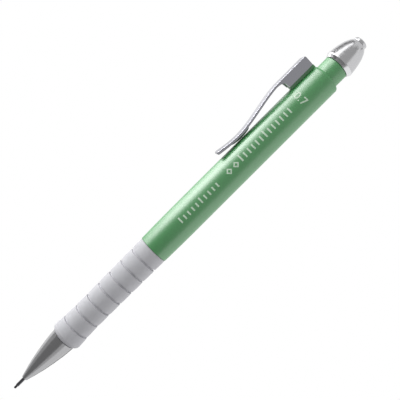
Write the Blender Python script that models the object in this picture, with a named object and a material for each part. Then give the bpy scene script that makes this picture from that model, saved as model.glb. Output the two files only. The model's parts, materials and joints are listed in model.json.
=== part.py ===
"""A push-button lead holder for 0.7 mm leads, lying on its barrel and clip.

Every station is a distance in millimetres from the tip of the lead, and every
radius is measured from the pencil's axis. In the pencil's own frame +X runs
from the tip to the button and +Z from the axis to the clip. One empty then
rolls the pencil about its axis until the barrel and the clip's lower corner
both touch z = 0. Blender 4.5, metres, +Z up.
"""
import math

import bmesh
import bpy
from mathutils import Matrix, Vector

MM = 0.001
SEGMENTS = 48
PIN_SEGMENTS = 16
MERGE = 1e-7

# Lead and nose
LENGTH = 147.0
LEAD_RADIUS = 0.35
LEAD_LENGTH = 60.0
LEAD_BORE = 0.42
SLEEVE_START = 1.1
SLEEVE_RADIUS = 0.5
NOSE_START = 4.1
NOSE_END = 21.0
NOSE_OUTLINE = [(4.2, 0.9), (7.9, 1.9), (11.5, 2.72), (16.9, 3.62), (21.0, 4.02)]
SOCKET_RADIUS = 2.75
SOCKET_START = 15.4
RING_ROOM = (12.3, 2.0)
CHUCK_ROOM = (9.4, 1.65)
RETAINER_ROOM = (7.2, 1.1)

# Grip
SEAM = 0.1
GRIP_START = NOSE_END + SEAM
GRIP_END = 58.7
GRIP_BORE = 3.7
GRIP_FACE_RADIUS = 4.1
GRIP_SHOULDER = (21.6, 4.72)
GRIP_RIM = (22.8, 5.0)
GRIP_WAIST = (31.0, 4.6)
GRIP_REAR_RADIUS = 4.83
GROOVE_COUNT = 7
GROOVE_FIRST = 26.05
GROOVE_PITCH = 4.74
GROOVE_WIDTH = 0.42
GROOVE_DEPTH = 0.3
SEGMENT_CROWN = 0.05

# Barrel and its clip lug
BARREL_FRONT = 22.1
BARREL_STEP = 58.8
BARREL_STEP_RADIUS = 4.88
BARREL_FULL = 73.0
BARREL_RADIUS = 5.05
BARREL_END = 131.6
BARREL_EDGE = 0.8
UNDER_GRIP_RADIUS = 3.6
FRONT_BORE = 2.75
REAR_BORE = 4.1
LUG_TOP = 8.0
LUG_OUTLINE = [(121.45, 4.4), (121.45, 5.8), (122.95, 5.8), (122.95, LUG_TOP), (129.95, LUG_TOP),
               (129.95, 5.8), (131.0, 5.8), (131.0, 4.4)]
LUG_HALF = 1.2

# Clip
CLIP_HALF = 2.2
CLIP_OUTER = 9.35
CLIP_SKIRT = 5.87
CLIP_REAR = 131.0
CLIP_REAR_EDGE = 0.5
ARM_SHEET = 0.78
ARM_END_SHEET = 1.0
ARM_LEAVES_BLOCK = 120.5
ARM_LOW = (100.4, 6.68)
ARM_CURL = [(98.2, 6.68), (95.8, 6.98), (92.9, 7.5)]
ARCH_START = 118.6
ARCH_CORNER = (120.95, 8.5)
ARCH_END = (121.3, 7.4)
SKIRT_START = 121.55
CAVITY = (122.7, 130.3)
CAVITY_HALF = 1.4
CAVITY_ROOF = 8.6
REAR_NOTCH = (130.0, 6.25)
DIMPLE_STATION = 101.0
DIMPLE_HEIGHT = 6.02
DIMPLE_RADII = (3.8, 1.3, 0.88)
PIVOT = (127.0, 7.2)
PIN_RADIUS = 0.45
PIN_HALF = 1.75
PIN_HOLE = 0.5
SOCKET_HALF = 1.8
SPRING_STATION = 128.75
SPRING_RADIUS = 0.52
POCKET_RADIUS = 0.75
POCKET_FLOOR = 6.2

# Button
NECK_RADIUS = 4.0
NECK_END = 136.2
CAP_START = 136.3
CAP_WIDEST = (137.6, 4.77)
DOME = [CAP_WIDEST, (139.4, 4.57), (141.1, 4.27), (142.9, 3.82), (144.6, 3.12), (145.7, 2.35)]
FINIAL_RADIUS = 2.2
FINIAL_EDGE = 0.6

# Colours are linear red, green and blue, then roughness and metallic
GREEN = ((0.16, 0.33, 0.17), 0.28, 0.35)
GREY_RUBBER = ((0.40, 0.40, 0.42), 0.75, 0.0)
CHROME = ((0.80, 0.81, 0.82), 0.10, 1.0)
SATIN_STEEL = ((0.45, 0.46, 0.50), 0.32, 1.0)
DARK_STEEL = ((0.16, 0.16, 0.17), 0.35, 1.0)
BRASS = ((0.72, 0.52, 0.22), 0.25, 1.0)
SPRING_STEEL = ((0.55, 0.56, 0.58), 0.25, 1.0)
CLEAR_GREY = ((0.55, 0.57, 0.58), 0.20, 0.0)
BLACK_PLASTIC = ((0.03, 0.03, 0.03), 0.40, 0.0)
BLACK_RUBBER = ((0.02, 0.02, 0.02), 0.80, 0.0)
GRAPHITE = ((0.02, 0.02, 0.022), 0.45, 0.2)
WHITE_ERASER = ((0.85, 0.85, 0.83), 0.85, 0.0)


def clear_scene():
    for thing in list(bpy.data.objects):
        bpy.data.objects.remove(thing, do_unlink=True)


def make_material(name, look):
    colour, roughness, metallic = look
    material = bpy.data.materials.new(name)
    material.use_nodes = True
    shader = material.node_tree.nodes["Principled BSDF"]
    shader.inputs["Base Color"].default_value = (*colour, 1.0)
    shader.inputs["Roughness"].default_value = roughness
    shader.inputs["Metallic"].default_value = metallic
    return material


def add_object(name, data, look, origin=(0.0, 0.0, 0.0)):
    """Link a mesh or curve whose shape is already given about its origin, in mm."""
    thing = bpy.data.objects.new(name, data)
    data.materials.append(make_material(name, look))
    thing.location = Vector(origin) * MM
    bpy.context.scene.collection.objects.link(thing)
    return thing


def mesh_from(name, bm):
    bmesh.ops.remove_doubles(bm, verts=bm.verts, dist=MERGE)
    bmesh.ops.recalc_face_normals(bm, faces=bm.faces)
    mesh = bpy.data.meshes.new(name)
    bm.to_mesh(mesh)
    bm.free()
    return mesh


def through(points, steps=4):
    """Points of a smooth Catmull-Rom curve that passes through the given ones."""
    first = tuple(2 * a - b for a, b in zip(points[0], points[1]))
    last = tuple(2 * a - b for a, b in zip(points[-1], points[-2]))
    knots = [first, *points, last]
    curve = []
    for p0, p1, p2, p3 in zip(knots, knots[1:], knots[2:], knots[3:]):
        for step in range(steps):
            t = step / steps
            curve.append(tuple(
                b + 0.5 * t * (c - a + t * (2 * a - 5 * b + 4 * c - d + t * (3 * (b - c) + d - a)))
                for a, b, c, d in zip(p0, p1, p2, p3)))
    curve.append(points[-1])
    return curve


def bezier(points, steps):
    """Points of the Bezier curve with the given control points, ends included."""
    degree = len(points) - 1
    curve = []
    for step in range(steps + 1):
        t = step / steps
        weights = [math.comb(degree, i) * t ** i * (1 - t) ** (degree - i) for i in range(degree + 1)]
        curve.append(tuple(sum(w * p[k] for w, p in zip(weights, points)) for k in range(2)))
    return curve


def arc(centre, radius, start, end, steps=5):
    """Points on a circle from one angle in degrees to another."""
    angles = [math.radians(start + (end - start) * i / steps) for i in range(steps + 1)]
    return [(centre[0] + radius * math.cos(a), centre[1] + radius * math.sin(a)) for a in angles]


def turned(name, outline, look, segments=SEGMENTS):
    """Spin a (station, radius) outline about the axis; one that stays off the axis is closed."""
    start = outline[0][0]
    bm = bmesh.new()
    verts = [bm.verts.new(((s - start) * MM, 0.0, r * MM)) for s, r in outline]
    pairs = list(zip(verts, verts[1:]))
    if outline[0][1] > 0.0:
        pairs.append((verts[-1], verts[0]))
    edges = [bm.edges.new(pair) for pair in pairs]
    bmesh.ops.spin(bm, geom=verts + edges, cent=(0, 0, 0), axis=(1, 0, 0),
                   angle=2 * math.pi, steps=segments, use_merge=True)
    thing = add_object(name, mesh_from(name, bm), look, (start, 0.0, 0.0))
    shade(thing)
    return thing


def shade(thing):
    thing.data.shade_smooth()
    thing.data.set_sharp_from_angle(angle=math.radians(35))


def tube(start, end, inner, outer):
    return [(start, inner), (start, outer), (end, outer), (end, inner)]


def prism(outline, half, origin=(0.0, 0.0)):
    """Extrude a (station, radius) side outline to both sides of the axis plane."""
    bm = bmesh.new()
    verts = [bm.verts.new(((s - origin[0]) * MM, -half * MM, (r - origin[1]) * MM)) for s, r in outline]
    face = bm.faces.new(verts)
    grown = bmesh.ops.extrude_face_region(bm, geom=[face])
    moved = [item for item in grown["geom"] if isinstance(item, bmesh.types.BMVert)]
    bmesh.ops.translate(bm, verts=moved, vec=(0.0, 2 * half * MM, 0.0))
    return bm


def cutter(name, bm):
    """A guide solid in the pencil's frame, left out of the part itself."""
    thing = bpy.data.objects.new(name, mesh_from(name, bm))
    thing.hide_render = True
    thing.display_type = "WIRE"
    bpy.context.scene.collection.objects.link(thing)
    return thing


def box_cutter(name, low, high):
    bm = bmesh.new()
    size = [(b - a) * MM for a, b in zip(low, high)]
    centre = [(a + b) / 2 * MM for a, b in zip(low, high)]
    bmesh.ops.create_cube(bm, size=1.0, matrix=Matrix.LocRotScale(centre, None, size))
    return cutter(name, bm)


def prism_cutter(name, outline, half):
    return cutter(name, prism(outline, half))


def rod_cutter(name, start, end, radius, segments):
    """A cylinder between two points given in mm."""
    bm = bmesh.new()
    start, end = Vector(start) * MM, Vector(end) * MM
    along = end - start
    turn = along.to_track_quat("Z", "Y")
    bmesh.ops.create_cone(bm, cap_ends=True, segments=segments, radius1=radius * MM,
                          radius2=radius * MM, depth=along.length,
                          matrix=Matrix.LocRotScale((start + end) / 2, turn, None))
    return cutter(name, bm)


def dome_cutter(name, centre, radii):
    bm = bmesh.new()
    place = Matrix.LocRotScale(Vector(centre) * MM, None, [r * MM for r in radii])
    bmesh.ops.create_uvsphere(bm, u_segments=20, v_segments=12, radius=1.0, matrix=place)
    return cutter(name, bm)


def combine(thing, other, operation):
    modifier = thing.modifiers.new(other.name, "BOOLEAN")
    modifier.operation = operation
    modifier.solver = "EXACT"
    modifier.object = other


def coil(name, start, direction, length, radius, wire, turns, look):
    """A round-wire compression spring along a unit direction, in mm."""
    per_turn = 12
    side = Vector((0, 1, 0))
    up = Vector(direction).cross(side)
    curve = bpy.data.curves.new(name, "CURVE")
    curve.dimensions = "3D"
    curve.bevel_depth = wire * MM
    curve.bevel_resolution = 1
    curve.use_fill_caps = True
    spline = curve.splines.new("POLY")
    count = turns * per_turn
    spline.points.add(count)
    for i, point in enumerate(spline.points):
        angle = 2 * math.pi * i / per_turn
        along = Vector(direction) * (wire + (length - 2 * wire) * i / count)
        place = (along + radius * (math.cos(angle) * up + math.sin(angle) * side)) * MM
        point.co = (*place, 1.0)
    return add_object(name, curve, look, start)


# ---------------------------------------------------------------- nose and lead

def build_nose():
    outline = [(NOSE_START, 0.55), (NOSE_START, 0.77)]
    outline += through(NOSE_OUTLINE)
    outline += [(NOSE_END, SOCKET_RADIUS), (SOCKET_START, SOCKET_RADIUS)]
    for (start, radius), end in zip((RING_ROOM, CHUCK_ROOM, RETAINER_ROOM),
                                    (SOCKET_START, RING_ROOM[0], CHUCK_ROOM[0])):
        outline += [(end, radius), (start, radius)]
    outline.append((RETAINER_ROOM[0], 0.55))
    turned("nose_cone", outline, CHROME)


def build_lead_guide():
    sleeve = [(SLEEVE_START, LEAD_BORE), (SLEEVE_START, 0.46), (1.16, SLEEVE_RADIUS),
              (7.1, SLEEVE_RADIUS), (7.1, LEAD_BORE)]
    turned("lead_guide_sleeve", sleeve, DARK_STEEL)
    turned("lead_retainer", tube(7.3, 9.2, 0.40, 1.0), BLACK_RUBBER)


def build_lead():
    outline = [(0.0, 0.0), (0.0, 0.3), (0.06, LEAD_RADIUS), (LEAD_LENGTH, LEAD_RADIUS),
               (LEAD_LENGTH, 0.0)]
    turned("lead", outline, GRAPHITE)


# ---------------------------------------------------------------- clutch

def build_chuck():
    """A slit brass collet: its head closes on the lead when the ring slides over it."""
    outline = [(13.2, LEAD_BORE), (13.2, 1.2), (13.5, 1.45), (15.4, 1.45), (16.4, 1.05),
               (16.6, 0.9), (38.0, 0.9), (38.0, LEAD_BORE)]
    chuck = turned("chuck", outline, BRASS)
    slit = 0.12
    combine(chuck, box_cutter("slit_flat", (13.0, -2.0, -slit), (22.0, 2.0, slit)), "DIFFERENCE")
    combine(chuck, box_cutter("slit_upright", (13.0, -slit, -2.0), (22.0, slit, 2.0)), "DIFFERENCE")


def build_clutch():
    turned("chuck_ring", tube(13.9, 15.9, 1.5, 1.85), BRASS)
    insert = [(15.6, 2.05), (15.6, 2.65), (21.1, 2.65), (21.1, 3.55), (22.0, 3.55),
              (22.0, 2.65), (24.0, 2.65), (24.0, 2.05)]
    turned("thread_insert", insert, BRASS)
    housing = [(16.6, 1.1), (16.6, 1.95), (24.1, 1.95), (24.1, 2.6), (25.0, 2.6), (25.0, 1.1)]
    turned("chuck_housing", housing, BLACK_PLASTIC)
    coil("return_spring", (25.3, 0, 0), (1, 0, 0), 10.4, 1.6, 0.22, 9, SPRING_STEEL)


# ---------------------------------------------------------------- lead store

def build_magazine():
    coupler = [(36.0, 0.98), (36.0, 2.4), (48.0, 2.4), (48.0, 2.1), (41.0, 2.1), (41.0, 0.5),
               (38.2, 0.5), (38.2, 0.98)]
    turned("magazine_coupler", coupler, BLACK_PLASTIC)
    turned("magazine_tube", tube(41.1, 130.0, 1.7, 2.0), CLEAR_GREY)


def build_spare_leads():
    offset, start, count = 0.95, 62.5, 3
    for i in range(count):
        angle = 2 * math.pi * i / count + math.radians(30)
        outline = [(start, 0.0), (start, LEAD_RADIUS), (start + LEAD_LENGTH, LEAD_RADIUS),
                   (start + LEAD_LENGTH, 0.0)]
        lead = turned(f"spare_lead_{i + 1}", outline, GRAPHITE, PIN_SEGMENTS)
        lead.location.y = offset * math.cos(angle) * MM
        lead.location.z = offset * math.sin(angle) * MM


# ---------------------------------------------------------------- grip and barrel

def grip_radius(station):
    """Outer radius of the grip without its grooves: a rim, a waist, then a slow swell."""
    waist, radius = GRIP_WAIST
    if station < waist:
        return radius + (GRIP_RIM[1] - radius) * ((waist - station) / (waist - GRIP_RIM[0])) ** 2
    return radius + (GRIP_REAR_RADIUS - radius) * ((station - waist) / (GRIP_END - waist)) ** 1.2


def build_grip():
    outline = [(GRIP_START, GRIP_BORE), (GRIP_START, GRIP_FACE_RADIUS), GRIP_SHOULDER]
    grooves = [GROOVE_FIRST + i * GROOVE_PITCH for i in range(GROOVE_COUNT)]
    starts = [GRIP_RIM[0]] + [g + GROOVE_WIDTH / 2 for g in grooves]
    ends = [g - GROOVE_WIDTH / 2 for g in grooves] + [GRIP_END]
    steps = 2
    for start, end in zip(starts, ends):
        for i in range(steps + 1):
            share = i / steps
            station = start + (end - start) * share
            crown = SEGMENT_CROWN * (4 * share * (1 - share) - 1)
            outline.append((station, grip_radius(station) + crown))
        if end < GRIP_END:
            outline.append((end + 0.05, grip_radius(end) - GROOVE_DEPTH))
            outline.append((end + GROOVE_WIDTH - 0.05, grip_radius(end) - GROOVE_DEPTH))
    outline.append((GRIP_END, GRIP_BORE))
    turned("grip_sleeve", outline, GREY_RUBBER)


def barrel_outline():
    rise = [(BARREL_STEP, BARREL_STEP_RADIUS)]
    steps = 5
    for i in range(1, steps + 1):
        left = 1 - i / steps
        rise.append((BARREL_FULL - (BARREL_FULL - BARREL_STEP) * left,
                     BARREL_RADIUS - (BARREL_RADIUS - BARREL_STEP_RADIUS) * left ** 2))
    edge_centre = (BARREL_END - BARREL_EDGE, BARREL_RADIUS - BARREL_EDGE)
    outline = [(BARREL_FRONT, FRONT_BORE), (BARREL_FRONT, UNDER_GRIP_RADIUS),
               (BARREL_STEP, UNDER_GRIP_RADIUS)]
    outline += rise + arc(edge_centre, BARREL_EDGE, 90, 0)
    outline += [(BARREL_END, REAR_BORE), (62.0, REAR_BORE), (60.5, FRONT_BORE)]
    return outline


def build_barrel():
    """The barrel runs on under the grip; a lug with a long foot carries the clip's pin."""
    barrel = turned("barrel", barrel_outline(), GREEN)
    combine(barrel, prism_cutter("clip_lug", LUG_OUTLINE, LUG_HALF), "UNION")
    hole = rod_cutter("lug_pin_hole", (PIVOT[0], -3, PIVOT[1]), (PIVOT[0], 3, PIVOT[1]),
                      PIN_HOLE, PIN_SEGMENTS)
    combine(barrel, hole, "DIFFERENCE")
    pocket = rod_cutter("lug_spring_pocket", (SPRING_STATION, 0, POCKET_FLOOR),
                        (SPRING_STATION, 0, LUG_TOP + 1), POCKET_RADIUS, PIN_SEGMENTS)
    combine(barrel, pocket, "DIFFERENCE")


# ---------------------------------------------------------------- clip

def arm_outer():
    """Outer face of the arm, from the block down to the ball and up again to the free end."""
    low_station, low_radius = ARM_LOW
    steps = 14
    fall = []
    for i in range(steps):
        share = 1 - i / steps
        rise = share * share * (3 - 2 * share)
        fall.append((low_station + (ARM_LEAVES_BLOCK - low_station) * share,
                     low_radius + (CLIP_OUTER - low_radius) * rise))
    return fall + bezier([ARM_LOW, *ARM_CURL], 6)


def arm_sheet(station):
    """The arm's sheet, which thickens from its low point to its free end."""
    past = max(0.0, (ARM_LOW[0] - station) / (ARM_LOW[0] - ARM_CURL[-1][0]))
    return ARM_SHEET + (ARM_END_SHEET - ARM_SHEET) * past


def arm_inner(outer):
    """Inner face of the arm, a sheet's thickness from the outer one, square to its direction."""
    moved = []
    for i, point in enumerate(outer):
        before = outer[max(i - 1, 0)]
        after = outer[min(i + 1, len(outer) - 1)]
        ds, dr = after[0] - before[0], after[1] - before[1]
        share = arm_sheet(point[0]) / math.hypot(ds, dr)
        moved.append((point[0] - share * dr, point[1] + share * ds))
    return moved


def clip_outline():
    outer = arm_outer()
    inner = arm_inner(outer)
    end_outer, end_inner = outer[-1], inner[-1]
    middle = ((end_outer[0] + end_inner[0]) / 2, (end_outer[1] + end_inner[1]) / 2)
    facing = math.degrees(math.atan2(end_outer[1] - middle[1], end_outer[0] - middle[0]))
    rear_centre = (CLIP_REAR - CLIP_REAR_EDGE, CLIP_OUTER - CLIP_REAR_EDGE)
    under = [p for p in reversed(inner) if p[0] < ARCH_START]
    arch = bezier([under[-1], ARCH_CORNER, ARCH_END], 4)
    outline = [(CLIP_REAR, CLIP_SKIRT)]
    outline += arc(rear_centre, CLIP_REAR_EDGE, 0, 90, 4)
    outline += outer
    outline += arc(middle, ARM_END_SHEET / 2, facing, facing + 180, 6)[1:-1]
    outline += under + arch[1:] + [(SKIRT_START, CLIP_SKIRT)]
    return outline


def build_clip():
    """One pressed piece: a hollow block over the lug, and an arm with a ball at its low point."""
    clip = add_object("clip", mesh_from("clip", prism(clip_outline(), CLIP_HALF, PIVOT)), SATIN_STEEL,
                      (PIVOT[0], 0.0, PIVOT[1]))
    cavity = box_cutter("clip_cavity", (CAVITY[0], -CAVITY_HALF, 5.0),
                        (CAVITY[1], CAVITY_HALF, CAVITY_ROOF))
    combine(clip, cavity, "DIFFERENCE")
    notch = box_cutter("clip_notch", (REAR_NOTCH[0], -CAVITY_HALF, 5.0),
                       (CLIP_REAR + 1, CAVITY_HALF, REAR_NOTCH[1]))
    combine(clip, notch, "DIFFERENCE")
    sockets = rod_cutter("clip_pin_sockets", (PIVOT[0], -SOCKET_HALF, PIVOT[1]),
                         (PIVOT[0], SOCKET_HALF, PIVOT[1]), PIN_HOLE, PIN_SEGMENTS)
    combine(clip, sockets, "DIFFERENCE")
    combine(clip, dome_cutter("clip_ball", (DIMPLE_STATION, 0, DIMPLE_HEIGHT), DIMPLE_RADII),
            "UNION")


def build_clip_pin():
    bm = bmesh.new()
    turn = Vector((0, 1, 0)).to_track_quat("Z", "Y").to_matrix().to_4x4()
    bmesh.ops.create_cone(bm, cap_ends=True, segments=PIN_SEGMENTS, radius1=PIN_RADIUS * MM,
                          radius2=PIN_RADIUS * MM, depth=2 * PIN_HALF * MM, matrix=turn)
    pin = add_object("clip_pin", mesh_from("clip_pin", bm), SPRING_STEEL, (PIVOT[0], 0, PIVOT[1]))
    shade(pin)


def build_clip_spring():
    start = (SPRING_STATION, 0, POCKET_FLOOR + 0.05)
    coil("clip_spring", start, (0, 0, 1), CAVITY_ROOF - POCKET_FLOOR - 0.1, SPRING_RADIUS, 0.12, 4,
         SPRING_STEEL)


# ---------------------------------------------------------------- button

def build_button():
    sleeve = [(119.0, 2.1), (119.0, NECK_RADIUS), (NECK_END, NECK_RADIUS), (NECK_END, 3.5),
              (139.6, 3.5), (139.6, 2.65), (130.2, 2.65), (130.2, 2.1)]
    turned("button_sleeve", sleeve, GREEN)
    cap = [(CAP_START, 3.6), (CAP_START, 4.15), (137.4, 4.72)] + through(DOME)
    cap += [(145.7, 0.85), (144.3, 0.85), (144.3, 2.4), (140.2, 3.6)]
    turned("button_cap", cap, CHROME)
    finial = [(144.4, 0.0), (144.4, 0.8), (145.8, 0.8), (145.8, 1.95), (146.0, FINIAL_RADIUS)]
    finial += arc((LENGTH - FINIAL_EDGE, FINIAL_RADIUS - FINIAL_EDGE), FINIAL_EDGE, 90, 0)
    finial.append((LENGTH, 0.0))
    turned("button_finial", finial, CHROME)


def build_eraser():
    cup = [(127.0, 0.0), (127.0, 1.6), (130.4, 1.6), (130.4, 2.55), (137.5, 2.55), (137.5, 2.3),
           (131.2, 2.3), (131.2, 0.0)]
    turned("eraser_cup", cup, SATIN_STEEL)
    eraser = [(131.3, 0.0), (131.3, 2.2), (142.3, 2.2), (142.6, 1.9), (142.6, 0.0)]
    turned("eraser", eraser, WHITE_ERASER)


# ---------------------------------------------------------------- rest pose

def roll_to_rest():
    """Turn about the axis that brings the clip's lower corner down level with the barrel."""
    corner = math.hypot(CLIP_OUTER, CLIP_HALF)
    corner_from_down = math.acos(BARREL_RADIUS / corner)
    clip_from_down = corner_from_down + math.atan2(CLIP_HALF, CLIP_OUTER)
    return -(math.pi - clip_from_down)


def settle():
    """Hang every piece on one empty, roll it, and stand its box on z = 0 about the origin."""
    pieces = list(bpy.context.scene.objects)
    root = bpy.data.objects.new("pencil_axis", None)
    bpy.context.scene.collection.objects.link(root)
    for piece in pieces:
        piece.parent = root
    root.rotation_euler.x = roll_to_rest()
    bpy.context.view_layer.update()
    solid = [piece for piece in pieces if not piece.hide_render and piece.type == "MESH"]
    corners = [piece.matrix_world @ vert.co for piece in solid for vert in piece.data.vertices]
    low = Vector(min(corner[k] for corner in corners) for k in range(3))
    high = Vector(max(corner[k] for corner in corners) for k in range(3))
    root.location = (-(low.x + high.x) / 2, -(low.y + high.y) / 2, -low.z)


def build():
    clear_scene()
    build_lead()
    build_lead_guide()
    build_nose()
    build_chuck()
    build_clutch()
    build_magazine()
    build_spare_leads()
    build_barrel()
    build_grip()
    build_clip()
    build_clip_pin()
    build_clip_spring()
    build_button()
    build_eraser()
    settle()


build()
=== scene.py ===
"""Looks of a push-button lead holder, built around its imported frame.

Shapes are given in the pencil's own millimetres: the station along the axis from
the lead's tip, the side across the clip, and the height from the axis towards the
clip. PENCIL turns them into the frame's metres.
"""
import json
import math

import bmesh
import bpy
from mathutils import Matrix, Vector


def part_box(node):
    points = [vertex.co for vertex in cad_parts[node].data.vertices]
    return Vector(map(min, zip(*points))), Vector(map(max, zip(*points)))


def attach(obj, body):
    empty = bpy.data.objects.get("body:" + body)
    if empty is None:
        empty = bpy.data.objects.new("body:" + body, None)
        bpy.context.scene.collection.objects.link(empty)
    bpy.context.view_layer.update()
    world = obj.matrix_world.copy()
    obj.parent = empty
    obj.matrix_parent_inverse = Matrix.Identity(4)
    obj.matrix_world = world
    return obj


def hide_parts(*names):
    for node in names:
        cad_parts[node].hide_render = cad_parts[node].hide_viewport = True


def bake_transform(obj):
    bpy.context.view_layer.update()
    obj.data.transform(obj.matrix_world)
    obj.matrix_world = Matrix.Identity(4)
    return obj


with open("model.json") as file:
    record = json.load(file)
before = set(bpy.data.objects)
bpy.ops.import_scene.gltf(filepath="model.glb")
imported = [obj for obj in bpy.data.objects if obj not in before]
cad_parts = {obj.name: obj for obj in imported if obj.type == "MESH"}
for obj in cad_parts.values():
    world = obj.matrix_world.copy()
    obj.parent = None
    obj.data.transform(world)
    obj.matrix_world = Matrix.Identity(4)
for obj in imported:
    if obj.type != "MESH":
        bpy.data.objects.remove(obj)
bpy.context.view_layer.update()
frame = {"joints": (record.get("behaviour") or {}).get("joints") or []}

MM = 0.001
MERGE = 1e-4  # millimetres within which two points are the same
ROUND = 144  # segments of the large round pieces
SMALL_ROUND = 64  # and of the small ones
WIRE_SIDES = 12
SHARP_ANGLE = 40  # degrees between two faces beyond which their edge is shaded sharp

# ---------------------------------------------------------------- the pencil's own frame

JOINTS = {joint["name"]: joint for joint in frame["joints"]}
AXIS_POINT = Vector(JOINTS["nose_turn"]["pos_m"])
ALONG = Vector((1, 0, 0))
SIDE = Vector(JOINTS["clip_hinge"]["axis"]).normalized()
TO_CLIP = ALONG.cross(SIDE)
TIP = Vector((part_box("lead")[0].x, AXIS_POINT.y, AXIS_POINT.z))
PENCIL = (Matrix.Translation(TIP) @ Matrix((ALONG, SIDE, TO_CLIP)).transposed().to_4x4()
          @ Matrix.Scale(MM, 4))


def span(node):
    """A node's first and last station."""
    low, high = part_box(node)
    return (low.x - TIP.x) / MM, (high.x - TIP.x) / MM


def radius_of(node):
    """A round node's largest radius, which is half its height in the frame."""
    low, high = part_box(node)
    return (high.z - low.z) / 2 / MM


# ---------------------------------------------------------------- outlines

def through(points, steps):
    """Points of a smooth Catmull-Rom curve that passes through the given ones."""
    first = tuple(2 * a - b for a, b in zip(points[0], points[1]))
    last = tuple(2 * a - b for a, b in zip(points[-1], points[-2]))
    knots = [first, *points, last]
    curve = []
    for p0, p1, p2, p3 in zip(knots, knots[1:], knots[2:], knots[3:]):
        for step in range(steps):
            t = step / steps
            curve.append(tuple(
                b + 0.5 * t * (c - a + t * (2 * a - 5 * b + 4 * c - d + t * (3 * (b - c) + d - a)))
                for a, b, c, d in zip(p0, p1, p2, p3)))
    curve.append(tuple(points[-1]))
    return curve


def bezier(points, steps):
    """Points of the Bezier curve with the given control points, ends included."""
    degree = len(points) - 1
    curve = []
    for step in range(steps + 1):
        t = step / steps
        weights = [math.comb(degree, i) * t ** i * (1 - t) ** (degree - i) for i in range(degree + 1)]
        curve.append(tuple(sum(w * p[k] for w, p in zip(weights, points)) for k in range(2)))
    return curve


def rounded(outline, steps=5):
    """Round each corner given as (station, radius, fillet); the rest stay as they are.

    A point a little way beyond each fillet keeps the long faces' shading flat.
    """
    made = []
    for i, corner in enumerate(outline):
        here = Vector(corner[:2])
        fillet = corner[2] if len(corner) > 2 else 0.0
        if not fillet:
            made.append(tuple(here))
            continue
        back = Vector(outline[i - 1][:2]) - here
        ahead = Vector(outline[(i + 1) % len(outline)][:2]) - here
        half = back.angle(ahead) / 2
        reach = fillet / math.tan(half)
        centre = here + (back.normalized() + ahead.normalized()).normalized() * fillet / math.sin(half)
        start = here + back.normalized() * reach
        end = here + ahead.normalized() * reach
        from_centre, to_centre = start - centre, end - centre
        turn = from_centre.angle_signed(to_centre)
        guard = 0.3 * fillet
        room = 3 * reach + guard
        if back.length > room:
            made.append(tuple(start + back.normalized() * guard))
        for step in range(steps + 1):
            spoke = from_centre.copy()
            spoke.rotate(Matrix.Rotation(-turn * step / steps, 2))
            made.append(tuple(centre + spoke))
        if ahead.length > room:
            made.append(tuple(end + ahead.normalized() * guard))
    return made


def arc(centre, radius, start, end, steps=8):
    """Points of an arc between two angles in degrees, ends included."""
    angles = [math.radians(start + (end - start) * i / steps) for i in range(steps + 1)]
    return [(centre[0] + radius * math.cos(a), centre[1] + radius * math.sin(a)) for a in angles]


def tube(start, end, inner, outer, fillet=0.05):
    """Outline of a tube whose outer edges are rounded."""
    return rounded([(start, inner), (start, outer, fillet), (end, outer, fillet), (end, inner)])


# ---------------------------------------------------------------- meshes

def finish_piece(name, bm, material, body, slot, *nodes, sharp=SHARP_ANGLE):
    """Turn a mesh given in the pencil's frame into a piece; one given a body rides on it."""
    bmesh.ops.remove_doubles(bm, verts=bm.verts, dist=MERGE)
    bmesh.ops.recalc_face_normals(bm, faces=bm.faces)
    bm.transform(PENCIL)
    mesh = bpy.data.meshes.new(name)
    bm.to_mesh(mesh)
    bm.free()
    mesh.materials.append(material)
    mesh.shade_smooth()
    mesh.set_sharp_from_angle(angle=math.radians(sharp))
    piece = bpy.data.objects.new(name, mesh)
    bpy.context.scene.collection.objects.link(piece)
    if body:
        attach(piece, body)
    if nodes:
        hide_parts(*nodes)
    return piece


def spun(outline, segments, offset=(0.0, 0.0)):
    """Spin a (station, radius) outline about the axis; one that stays off the axis is closed."""
    bm = bmesh.new()
    verts = [bm.verts.new((s, 0.0, r)) for s, r in outline]
    pairs = list(zip(verts, verts[1:]))
    if outline[0][1] > 0.0:
        pairs.append((verts[-1], verts[0]))
    edges = [bm.edges.new(pair) for pair in pairs]
    bmesh.ops.spin(bm, geom=verts + edges, cent=(0, 0, 0), axis=(1, 0, 0),
                   angle=2 * math.pi, steps=segments, use_merge=True)
    bmesh.ops.translate(bm, verts=bm.verts, vec=(0.0, *offset))
    return bm


def turned(name, outline, material, body, slot, segments=ROUND):
    """A round piece that replaces the CAD node of the same name."""
    return finish_piece(f"{name}_skin", spun(outline, segments), material, body, slot, name)


def join_rings(bm, ring, following):
    """Faces between two closed rings of as many points."""
    count = len(ring)
    for k in range(count):
        bm.faces.new((ring[k], ring[(k + 1) % count], following[(k + 1) % count], following[k]))


def swept(points, radius):
    """A round wire through the points, with flat ends."""
    bm = bmesh.new()
    rings = []
    across = (points[1] - points[0]).orthogonal()
    angles = [2 * math.pi * k / WIRE_SIDES for k in range(WIRE_SIDES)]
    for i, point in enumerate(points):
        heading = (points[min(i + 1, len(points) - 1)] - points[max(i - 1, 0)]).normalized()
        across = (across - heading * across.dot(heading)).normalized()
        up = heading.cross(across)
        rings.append([bm.verts.new(point + radius * (math.cos(a) * across + math.sin(a) * up))
                      for a in angles])
    for ring, following in zip(rings, rings[1:]):
        join_rings(bm, ring, following)
    bm.faces.new(rings[0])
    bm.faces.new(reversed(rings[-1]))
    return bm


def coil_points(start, end, radius, turns, per_turn):
    """Points of an evenly wound coil about the line from start to end."""
    side = Vector((0, 1, 0))
    up = (end - start).normalized().cross(side)
    count = turns * per_turn
    points = []
    for i in range(count + 1):
        angle = 2 * math.pi * i / per_turn
        around = radius * (math.cos(angle) * up + math.sin(angle) * side)
        points.append(start.lerp(end, i / count) + around)
    return points


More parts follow.
